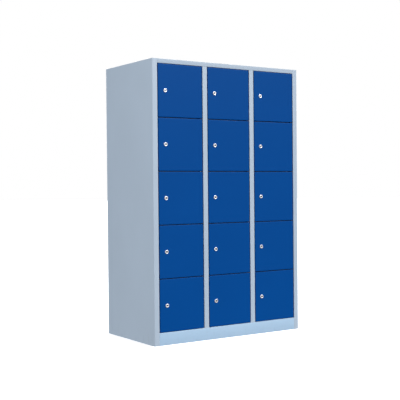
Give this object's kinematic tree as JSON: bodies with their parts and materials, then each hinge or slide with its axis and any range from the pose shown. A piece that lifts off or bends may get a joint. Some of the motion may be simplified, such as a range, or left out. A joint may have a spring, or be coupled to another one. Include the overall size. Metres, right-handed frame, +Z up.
{
  "type": "coin operated locker",
  "caption": "Free-standing sheet-steel locker with columns of small hinged doors, each with a round coin-return key lock.",
  "frame": {"origin": "on the floor, at the centre of the overall width and depth", "axes": "+X to the right seen from the front, +Y from the doors to the back panel, +Z up from the floor"},
  "size_m": [1.16, 0.624, 1.8],
  "materials": {
    "body_paint": "light grey powder coat, satin, fine orange peel",
    "door_paint": "gentian blue powder coat, satin, fine orange peel",
    "lock_chrome": "bright nickel-chrome plate on die-cast zinc",
    "bright_steel": "zinc-plated turned steel",
    "rubber": "matt black rubber"
  },
  "bodies": {
    "carcass": {"side_panel_left": "body_paint", "side_panel_right": "body_paint", "back_panel": "body_paint", "top_panel": "body_paint", "floor_panel": "body_paint", "plinth": "body_paint", "top_rail": "body_paint", "mullion_1": "body_paint", "mullion_2": "body_paint", "partition_1": "body_paint", "partition_2": "body_paint", "shelves": "body_paint", "hinge_tabs": "body_paint", "hinge_pins": "bright_steel", "door_buffers": "rubber"},
    "door_c1_r1": {"door_c1_r1": "door_paint", "coin_lock_c1_r1": "lock_chrome"},
    "plug_c1_r1": {"lock_plug_c1_r1": "lock_chrome"},
    "door_c1_r2": {"door_c1_r2": "door_paint", "coin_lock_c1_r2": "lock_chrome"},
    "plug_c1_r2": {"lock_plug_c1_r2": "lock_chrome"},
    "door_c1_r3": {"door_c1_r3": "door_paint", "coin_lock_c1_r3": "lock_chrome"},
    "plug_c1_r3": {"lock_plug_c1_r3": "lock_chrome"},
    "door_c1_r4": {"door_c1_r4": "door_paint", "coin_lock_c1_r4": "lock_chrome"},
    "plug_c1_r4": {"lock_plug_c1_r4": "lock_chrome"},
    "door_c1_r5": {"door_c1_r5": "door_paint", "coin_lock_c1_r5": "lock_chrome"},
    "plug_c1_r5": {"lock_plug_c1_r5": "lock_chrome"},
    "door_c2_r1": {"door_c2_r1": "door_paint", "coin_lock_c2_r1": "lock_chrome"},
    "plug_c2_r1": {"lock_plug_c2_r1": "lock_chrome"},
    "door_c2_r2": {"door_c2_r2": "door_paint", "coin_lock_c2_r2": "lock_chrome"},
    "plug_c2_r2": {"lock_plug_c2_r2": "lock_chrome"},
    "door_c2_r3": {"door_c2_r3": "door_paint", "coin_lock_c2_r3": "lock_chrome"},
    "plug_c2_r3": {"lock_plug_c2_r3": "lock_chrome"},
    "door_c2_r4": {"door_c2_r4": "door_paint", "coin_lock_c2_r4": "lock_chrome"},
    "plug_c2_r4": {"lock_plug_c2_r4": "lock_chrome"},
    "door_c2_r5": {"door_c2_r5": "door_paint", "coin_lock_c2_r5": "lock_chrome"},
    "plug_c2_r5": {"lock_plug_c2_r5": "lock_chrome"},
    "door_c3_r1": {"door_c3_r1": "door_paint", "coin_lock_c3_r1": "lock_chrome"},
    "plug_c3_r1": {"lock_plug_c3_r1": "lock_chrome"},
    "door_c3_r2": {"door_c3_r2": "door_paint", "coin_lock_c3_r2": "lock_chrome"},
    "plug_c3_r2": {"lock_plug_c3_r2": "lock_chrome"},
    "door_c3_r3": {"door_c3_r3": "door_paint", "coin_lock_c3_r3": "lock_chrome"},
    "plug_c3_r3": {"lock_plug_c3_r3": "lock_chrome"},
    "door_c3_r4": {"door_c3_r4": "door_paint", "coin_lock_c3_r4": "lock_chrome"},
    "plug_c3_r4": {"lock_plug_c3_r4": "lock_chrome"},
    "door_c3_r5": {"door_c3_r5": "door_paint", "coin_lock_c3_r5": "lock_chrome"},
    "plug_c3_r5": {"lock_plug_c3_r5": "lock_chrome"}
  },
  "joints": [
    {"name": "door_c1_r1_hinge", "type": "hinge", "parent": "carcass", "child": "door_c1_r1", "pos_m": [-0.21833, -0.3, 0.2492], "axis": [0, 0, 1], "range_deg": [0, 110]},
    {"name": "plug_c1_r1_turn", "type": "hinge", "parent": "door_c1_r1", "child": "plug_c1_r1", "pos_m": [-0.487, -0.308, 0.2492], "axis": [0, 1, 0], "range_deg": [0, 90]},
    {"name": "door_c1_r2_hinge", "type": "hinge", "parent": "carcass", "child": "door_c1_r2", "pos_m": [-0.21833, -0.3, 0.5876], "axis": [0, 0, 1], "range_deg": [0, 110]},
    {"name": "plug_c1_r2_turn", "type": "hinge", "parent": "door_c1_r2", "child": "plug_c1_r2", "pos_m": [-0.487, -0.308, 0.5876], "axis": [0, 1, 0], "range_deg": [0, 90]},
    {"name": "door_c1_r3_hinge", "type": "hinge", "parent": "carcass", "child": "door_c1_r3", "pos_m": [-0.21833, -0.3, 0.926], "axis": [0, 0, 1], "range_deg": [0, 110]},
    {"name": "plug_c1_r3_turn", "type": "hinge", "parent": "door_c1_r3", "child": "plug_c1_r3", "pos_m": [-0.487, -0.308, 0.926], "axis": [0, 1, 0], "range_deg": [0, 90]},
    {"name": "door_c1_r4_hinge", "type": "hinge", "parent": "carcass", "child": "door_c1_r4", "pos_m": [-0.21833, -0.3, 1.2644], "axis": [0, 0, 1], "range_deg": [0, 110]},
    {"name": "plug_c1_r4_turn", "type": "hinge", "parent": "door_c1_r4", "child": "plug_c1_r4", "pos_m": [-0.487, -0.308, 1.2644], "axis": [0, 1, 0], "range_deg": [0, 90]},
    {"name": "door_c1_r5_hinge", "type": "hinge", "parent": "carcass", "child": "door_c1_r5", "pos_m": [-0.21833, -0.3, 1.6028], "axis": [0, 0, 1], "range_deg": [0, 110]},
    {"name": "plug_c1_r5_turn", "type": "hinge", "parent": "door_c1_r5", "child": "plug_c1_r5", "pos_m": [-0.487, -0.308, 1.6028], "axis": [0, 1, 0], "range_deg": [0, 90]},
    {"name": "door_c2_r1_hinge", "type": "hinge", "parent": "carcass", "child": "door_c2_r1", "pos_m": [0.15633, -0.3, 0.2492], "axis": [0, 0, 1], "range_deg": [0, 110]},
    {"name": "plug_c2_r1_turn", "type": "hinge", "parent": "door_c2_r1", "child": "plug_c2_r1", "pos_m": [-0.11233, -0.308, 0.2492], "axis": [0, 1, 0], "range_deg": [0, 90]},
    {"name": "door_c2_r2_hinge", "type": "hinge", "parent": "carcass", "child": "door_c2_r2", "pos_m": [0.15633, -0.3, 0.5876], "axis": [0, 0, 1], "range_deg": [0, 110]},
    {"name": "plug_c2_r2_turn", "type": "hinge", "parent": "door_c2_r2", "child": "plug_c2_r2", "pos_m": [-0.11233, -0.308, 0.5876], "axis": [0, 1, 0], "range_deg": [0, 90]},
    {"name": "door_c2_r3_hinge", "type": "hinge", "parent": "carcass", "child": "door_c2_r3", "pos_m": [0.15633, -0.3, 0.926], "axis": [0, 0, 1], "range_deg": [0, 110]},
    {"name": "plug_c2_r3_turn", "type": "hinge", "parent": "door_c2_r3", "child": "plug_c2_r3", "pos_m": [-0.11233, -0.308, 0.926], "axis": [0, 1, 0], "range_deg": [0, 90]},
    {"name": "door_c2_r4_hinge", "type": "hinge", "parent": "carcass", "child": "door_c2_r4", "pos_m": [0.15633, -0.3, 1.2644], "axis": [0, 0, 1], "range_deg": [0, 110]},
    {"name": "plug_c2_r4_turn", "type": "hinge", "parent": "door_c2_r4", "child": "plug_c2_r4", "pos_m": [-0.11233, -0.308, 1.2644], "axis": [0, 1, 0], "range_deg": [0, 90]},
    {"name": "door_c2_r5_hinge", "type": "hinge", "parent": "carcass", "child": "door_c2_r5", "pos_m": [0.15633, -0.3, 1.6028], "axis": [0, 0, 1], "range_deg": [0, 110]},
    {"name": "plug_c2_r5_turn", "type": "hinge", "parent": "door_c2_r5", "child": "plug_c2_r5", "pos_m": [-0.11233, -0.308, 1.6028], "axis": [0, 1, 0], "range_deg": [0, 90]},
    {"name": "door_c3_r1_hinge", "type": "hinge", "parent": "carcass", "child": "door_c3_r1", "pos_m": [0.531, -0.3, 0.2492], "axis": [0, 0, 1], "range_deg": [0, 110]},
    {"name": "plug_c3_r1_turn", "type": "hinge", "parent": "door_c3_r1", "child": "plug_c3_r1", "pos_m": [0.26233, -0.308, 0.2492], "axis": [0, 1, 0], "range_deg": [0, 90]},
    {"name": "door_c3_r2_hinge", "type": "hinge", "parent": "carcass", "child": "door_c3_r2", "pos_m": [0.531, -0.3, 0.5876], "axis": [0, 0, 1], "range_deg": [0, 110]},
    {"name": "plug_c3_r2_turn", "type": "hinge", "parent": "door_c3_r2", "child": "plug_c3_r2", "pos_m": [0.26233, -0.308, 0.5876], "axis": [0, 1, 0], "range_deg": [0, 90]},
    {"name": "door_c3_r3_hinge", "type": "hinge", "parent": "carcass", "child": "door_c3_r3", "pos_m": [0.531, -0.3, 0.926], "axis": [0, 0, 1], "range_deg": [0, 110]},
    {"name": "plug_c3_r3_turn", "type": "hinge", "parent": "door_c3_r3", "child": "plug_c3_r3", "pos_m": [0.26233, -0.308, 0.926], "axis": [0, 1, 0], "range_deg": [0, 90]},
    {"name": "door_c3_r4_hinge", "type": "hinge", "parent": "carcass", "child": "door_c3_r4", "pos_m": [0.531, -0.3, 1.2644], "axis": [0, 0, 1], "range_deg": [0, 110]},
    {"name": "plug_c3_r4_turn", "type": "hinge", "parent": "door_c3_r4", "child": "plug_c3_r4", "pos_m": [0.26233, -0.308, 1.2644], "axis": [0, 1, 0], "range_deg": [0, 90]},
    {"name": "door_c3_r5_hinge", "type": "hinge", "parent": "carcass", "child": "door_c3_r5", "pos_m": [0.531, -0.3, 1.6028], "axis": [0, 0, 1], "range_deg": [0, 110]},
    {"name": "plug_c3_r5_turn", "type": "hinge", "parent": "door_c3_r5", "child": "plug_c3_r5", "pos_m": [0.26233, -0.308, 1.6028], "axis": [0, 1, 0], "range_deg": [0, 90]}
  ]
}
